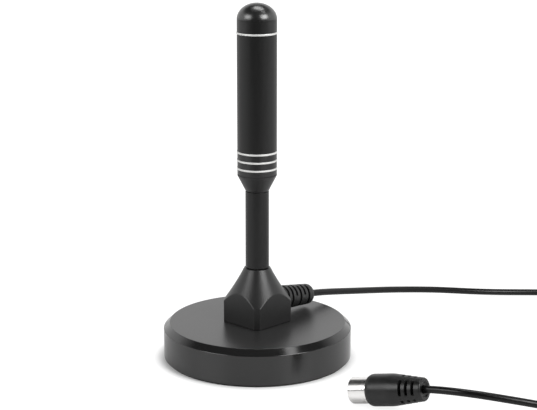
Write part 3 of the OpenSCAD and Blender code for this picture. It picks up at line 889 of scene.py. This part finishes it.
# Strain relief: its place on the mount's face, its dip below level in degrees, its sizes, and its
# rows of slots
relief_axis_z = 6.8
relief_dip = 6.5
relief_l = 19.0
relief_root = -1
relief_straight = 2
relief_root_r = 4.8
relief_end_r = 3.95
relief_end_ease = 2
relief_core_r = 2.4
relief_seal = 3
relief_first = 4.1
relief_pitch = 2.39
relief_rows = 7
relief_slot_w = 1.0
relief_arc = 150
relief_short_arc = 95


def make_relief():
    """Strain relief: a slightly tapering sleeve whose rows of paired slots turn by a quarter. The
    slots on its underside are shorter than the others."""
    axes = direction_axes(face_turn, 90 + relief_dip)
    origin = aside(mount_flat, face_turn, base_h + relief_axis_z)
    slots = []
    for i in range(relief_rows):
        place = relief_l - relief_first - i * relief_pitch
        if i % 2 == 0:
            slots += [(place, relief_slot_w, 2, relief_arc, 90)]
        else:
            slots += [(place, relief_slot_w, 1, relief_arc, 180),
                      (place, relief_slot_w, 1, relief_short_arc, 0)]
    outline = rounded([
        (relief_root_r, relief_root, 0), (relief_root_r, relief_straight, 0),
        (relief_end_r, relief_l, relief_end_ease), (lead_hole_r, relief_l, 0),
        (lead_hole_r, relief_root, 0)], steps=10)
    outside = outline[(outline[:, 0] > lead_hole_r + fit) & (outline[:, 1] < relief_l + TINY)]
    rim = outside[np.argmax(outside[:, 1] > relief_l - TINY):]
    outside = outside[:len(outside) - len(rim) + 1]
    seal_z = relief_l - relief_seal
    inner = np.vstack([rim[1:], [
        (lead_hole_r + lead_hole_ease, relief_l), (lead_hole_r, relief_l - lead_hole_ease),
        (lead_hole_r, seal_z), (seal_r, seal_z), (seal_r, relief_root)]])
    sleeve = slotted("relief_sleeve", outside, slots, relief_core_r, inner, axes, origin)
    dress(sleeve, "relief_pvc", "strain_relief")


# Plug: its direction in degrees, its metal shell and disc, its body with the slots and the dished
# rear end, and its contact pin. The shell's tip is at 0 on the plug's axis, just over the floor.
plug_dip = 12
plug_yaw = 32.5
plug_roll = 23
shell_r = 9.525 / 2
shell_bore_r = 8.3 / 2
shell_out = 7.2
shell_in = 4.2
shell_ease = 0.25
shell_bore_ease = 0.2
disc_t = 5.4
disc_rim_ease = 0.2
disc_hole_ease = 0.15
plug_r = 5.8
plug_rear_r = 4.15
plug_rear_ease = 0.6
plug_rim_w = 0.7
plug_l = 21.7
plug_shoulder = 1.9
shoulder_rows = 13
plug_taper = 9.6
plug_taper_ease = 14
plug_core_r = 3.0
plug_first = 2.8
plug_pitch = 2.38
plug_rows = 3
plug_slot_w = 1.0
plug_slots_round = 4
plug_arc = 65
plug_seal = 4
dish_r = lead_d / 2 + 1.55
dish_ease = 0.2
dish_slope = 0.5
dish_deep = 0.6
dish_low_ease = 0.3
dish_hole_step = 0.2
pin_r = 1.2
pin_nose = 0.3
pin_ease = 0.8 * pin_r
plug_tip = (34.9, -50.8, shell_r * math.cos(math.radians(plug_dip)) + 0.01)


def plug_axes(roll=0):
    """Axes of the plug, rolled about itself: Z points out of its tip."""
    return direction_axes(roll) @ direction_axes(180 - plug_yaw, 90 + plug_dip)


def make_plug_body():
    """Body: an elliptic shoulder, a barrel, a tapering slotted tail and a dished rear end."""
    front = -shell_out
    rear = front - plug_l
    dish_z = rear + dish_deep
    seal_z = rear + plug_seal
    root_z = front - shell_in - fit
    bend = np.radians(np.linspace(0, 90, shoulder_rows))
    shoulder = np.stack([shell_r + (plug_r - shell_r) * np.sin(bend),
                         front - plug_shoulder * (1 - np.cos(bend))], axis=1)
    barrel = rounded([
        (plug_r, front - plug_shoulder, 0), (plug_r, front - plug_taper, plug_taper_ease),
        (plug_rear_r, rear, plug_rear_ease), (dish_r, rear, dish_ease),
        (dish_r - dish_slope, dish_z, dish_low_ease), (lead_hole_r + dish_hole_step, dish_z, 0)],
        steps=12)
    # The outside ends at the point nearest to the rear plane, on the rim outside the dish
    in_dish = barrel[:, 0] < plug_rear_r - plug_rim_w
    end = int(np.argmin(np.abs(barrel[:, 1] - rear) + plug_l * in_dish))
    outside = np.vstack([shoulder, barrel[1:end + 1]])
    inner = np.vstack([barrel[end + 1:], [
        (lead_hole_r + lead_hole_ease, dish_z), (lead_hole_r, dish_z + lead_hole_ease),
        (lead_hole_r, seal_z), (seal_r, seal_z), (seal_r, root_z), (shell_bore_r, root_z),
        (shell_bore_r, front)]])
    slots = [(rear + plug_first + i * plug_pitch, plug_slot_w, plug_slots_round, plug_arc, 0)
             for i in range(plug_rows)]
    boot = slotted("plug_boot", outside, slots, plug_core_r, inner, plug_axes(plug_roll), plug_tip,
                   row_gap=0.9)
    return dress(boot, "plug_pvc", "plug_body")


def make_plug_metal():
    """Shell, white insulator disc and contact pin of the plug."""
    back = -shell_out - shell_in
    front = back + disc_t
    hole_r = pin_r + fit
    rim_r = shell_bore_r - fit
    where = {"axes": plug_axes(), "origin": plug_tip}
    shell = turned("plug_sleeve", rounded([
        (shell_bore_r, -shell_out, 0), (shell_r, -shell_out, 0), (shell_r, 0, shell_ease),
        (shell_bore_r, 0, shell_bore_ease)]), **where)
    disc = turned("plug_disc", rounded([
        (hole_r, back, 0), (rim_r, back, 0), (rim_r, front, disc_rim_ease),
        (hole_r, front, disc_hole_ease)]), columns=96, **where)
    pin = turned("plug_contact", rounded([
        (0, back, 0), (pin_r, back, 0), (pin_r, -pin_nose, pin_ease), (0, -pin_nose, 0)],
        steps=12), columns=64, **where)
    return [dress(creased(shell, degrees=50), "plug_nickel", "plug_shell"),
            dress(disc, "insulator_white", "plug_insulator"), dress(pin, "plug_nickel", "plug_pin")]


# Tie round the coil: its place in degrees, its section, and its room beside and over the turns
tie_turn = 205
tie_w = 4.0
tie_t = 0.5
tie_ease = 0.12
tie_side_room = 0.25
tie_top_room = 0.05


def make_tie():
    """Tie: a flat band whose rounded section, thickness by width, follows a rounded rectangle
    round the coil's bundle of turns."""
    half = turns_wide * lead_d / 2 + tie_side_room + tie_t / 2
    low = tie_t / 2
    high = coil_z + turns_high * lead_d + tie_top_room + tie_t / 2
    soft = (lead_d + tie_t) / 2
    loop = rounded([(-half, low, soft), (half, low, soft), (half, high, soft),
                    (-half, high, soft)], steps=10, hold=0.4)
    ahead = np.roll(loop, -1, axis=0) - np.roll(loop, 1, axis=0)
    ahead /= np.hypot(*ahead.T)[:, None]
    across = np.stack([ahead[:, 1], -ahead[:, 0]], axis=1)
    thick, wide = tie_t / 2, tie_w / 2
    section = rounded([(-thick, -wide, tie_ease), (thick, -wide, tie_ease),
                       (thick, wide, tie_ease), (-thick, wide, tie_ease)], steps=4)
    flat = loop[:, None, :] + across[:, None, :] * section[None, :, :1]
    along = np.broadcast_to(section[:, 1], flat.shape[:2])
    grid = np.stack([flat[..., 0], along, flat[..., 1]], axis=-1)
    origin = aside(coil_mean_d / 2, tie_turn, 0, coil_place)
    band = skin("lead_tie", grid, axes=direction_axes(tie_turn), origin=origin)
    return dress(band, "tie_black", "coil_tie")


for make in (make_base, make_foot_pad, make_mount, make_stem, make_neck, make_rings, make_bands,
             make_tube, make_cap, make_relief):
    make()
plug_pieces = [make_plug_body(), *make_plug_metal(), make_tie()]

lead = dress(strand("lead", lead_line, lead_d), "lead_pvc",
             "lead_antenna", "lead_coil", "lead_plug")


# Floor: its half width, its near edge, its matte colour seen directly and in reflections, where it
# is painted darker as a painted shade, the strength of its plain white, and its sheen
floor_reach = 1500.0
floor_near = -260.0
floor_matte = 0.8
floor_shaded_in_reflections = 0.6
floor_white = 1.2
floor_sheen = 0.08
sheen_roughness = 0.4
# Share of plain white in it, from the first value to the second as the distance from the axis
# goes from the third to the fourth: close to the base and farther off, which add up for the
# camera, and in reflections
white_close = (0.05, 0.72, base_r + 0.4, base_r + 4)
white_far = (0, 0.28, 110, 260)
white_mirrored = (0.05, 0.4, 90, 260)


def make_floor():
    """Pale floor. To the camera it is plain white away from the object, and near it the object's
    soft shadow is left in it. In reflections its matte colour is painted a little darker, a painted
    shade, and it has a faint sheen, which carries the lamps."""
    x, y = np.meshgrid([-floor_reach, floor_reach], [floor_near, 2 * floor_reach])
    points = np.stack([x.ravel(), y.ravel(), np.zeros(4)], axis=1) * MM
    mesh = bpy.data.meshes.new("floor")
    mesh.from_pydata(points.tolist(), [], [(0, 1, 3, 2)])
    floor = placed("floor", mesh)
    material = bpy.data.materials.new("floor_white")
    material.use_nodes = True
    tree = material.node_tree
    new, link = tree.nodes.new, tree.links.new
    tree.nodes.remove(tree.nodes["Principled BSDF"])
    matte = new("ShaderNodeBsdfDiffuse")
    white = new("ShaderNodeEmission")
    white.inputs["Strength"].default_value = floor_white
    path = new("ShaderNodeLightPath")
    to_camera = path.outputs["Is Camera Ray"]
    to_mirror = path.outputs["Is Glossy Ray"]
    away = new("ShaderNodeVectorMath")
    away.operation = "LENGTH"
    link(object_point(tree), away.inputs[0])
    distance = away.outputs["Value"]
    # Painted shade: the floor's matte colour is darker in reflections than it is to the camera
    tone_and_painted_light = spread(tree, to_mirror, floor_matte, floor_shaded_in_reflections, 0, 1)
    link(tone_and_painted_light, matte.inputs["Color"])
    close = spread(tree, distance, *white_close)
    far = spread(tree, distance, *white_far)
    in_view = joined(tree, to_camera, joined(tree, close, far, "ADD"))
    mirrored = joined(tree, to_mirror, spread(tree, distance, *white_mirrored))
    mix = new("ShaderNodeMixShader")
    link(joined(tree, in_view, mirrored, "MAXIMUM"), mix.inputs["Fac"])
    link(matte.outputs["BSDF"], mix.inputs[1])
    link(white.outputs["Emission"], mix.inputs[2])
    sheen = new("ShaderNodeBsdfGlossy")
    sheen.inputs["Roughness"].default_value = sheen_roughness
    link(spread(tree, to_mirror, 0, floor_sheen, 0, 1), sheen.inputs["Color"])
    both = new("ShaderNodeAddShader")
    link(mix.outputs["Shader"], both.inputs[0])
    link(sheen.outputs["BSDF"], both.inputs[1])
    link(both.outputs["Shader"], tree.nodes["Material Output"].inputs["Surface"])
    mesh.materials.append(material)


# Surroundings in reflections, from the first value to the second as a part of the direction goes
# from the third to the fourth: Y (away from the camera) and Z (up) for the wall, Z squared and X
# (to the right) for the strip. Then their level for matte surfaces and for the camera.
wall_behind = (0.02, 1.15, -0.5, -0.1)
wall_low = (1.0, 0.02, 0.5, 0.7)
strip_level = (0.8, 0, 0.001, 0.012)
strip_left = (1, 0, -0.85, -0.6)
matte_level = 0.3
camera_level = 1.0


def make_world():
    """White surroundings for the camera. In reflections they are a white wall behind and beside the
    object, up to about thirty degrees, with a low pale strip at the left, and a dark room above it
    and on the camera's side. Matte surfaces get an even soft grey."""
    world = bpy.data.worlds.new("studio")
    bpy.context.scene.world = world
    world.use_nodes = True
    tree = world.node_tree
    new, link = tree.nodes.new, tree.links.new
    background = tree.nodes["Background"]
    path = new("ShaderNodeLightPath")
    coordinates = new("ShaderNodeTexCoord")
    split = new("ShaderNodeSeparateXYZ")
    link(coordinates.outputs["Generated"], split.inputs["Vector"])
    x, y, z = (split.outputs[axis] for axis in "XYZ")
    wall = joined(tree, spread(tree, y, *wall_behind), spread(tree, z, *wall_low))
    strip = joined(tree, spread(tree, joined(tree, z, z), *strip_level),
                   spread(tree, x, *strip_left))
    level = new("ShaderNodeMix")
    level.data_type = "FLOAT"
    level.inputs["A"].default_value = matte_level
    link(path.outputs["Is Glossy Ray"], level.inputs["Factor"])
    link(joined(tree, wall, strip, "MAXIMUM"), level.inputs["B"])
    final = new("ShaderNodeMix")
    final.data_type = "FLOAT"
    final.inputs["B"].default_value = camera_level
    link(path.outputs["Is Camera Ray"], final.inputs["Factor"])
    link(level.outputs["Result"], final.inputs["A"])
    background.inputs["Color"].default_value = (1, 1, 1, 1)
    link(final.outputs["Result"], background.inputs["Strength"])


# Lamps, which face lamp_aim: the bearing from the camera's side towards +X and the angle above the
# floor in degrees, the distance, the width and height, and the radiance
lamp_aim = np.array([0, 0, 60])
lamps = {
    "right_lamp": (48, 32, 900, (520, 440), 10.5),
    "left_lamp": (-56, 28, 900, (520, 440), 5.8),
    "top_lamp": (156, 77, 800, (420, 280), 6.5),
    "patch_lamp": (74, 63, 700, (140, 140), 4),
}


def make_lamp(name, bearing, rise, distance, size, radiance):
    """Soft rectangular lamp, whose power gives it the radiance named."""
    a = math.radians(bearing)
    b = math.radians(rise)
    away = np.array([math.sin(a) * math.cos(b), -math.cos(a) * math.cos(b), math.sin(b)])
    data = bpy.data.lights.new(name, "AREA")
    data.shape = "RECTANGLE"
    data.size, data.size_y = (s * MM for s in size)
    data.energy = radiance * math.pi * data.size * data.size_y
    light = placed(name, data)
    light.location = (lamp_aim + distance * away) * MM
    light.rotation_euler = mathutils.Vector(away).to_track_quat("Z", "Y").to_euler()


make_floor()
make_world()
for lamp_name, lamp_row in lamps.items():
    make_lamp(lamp_name, *lamp_row)

bpy.context.scene.view_settings.view_transform = "Standard"
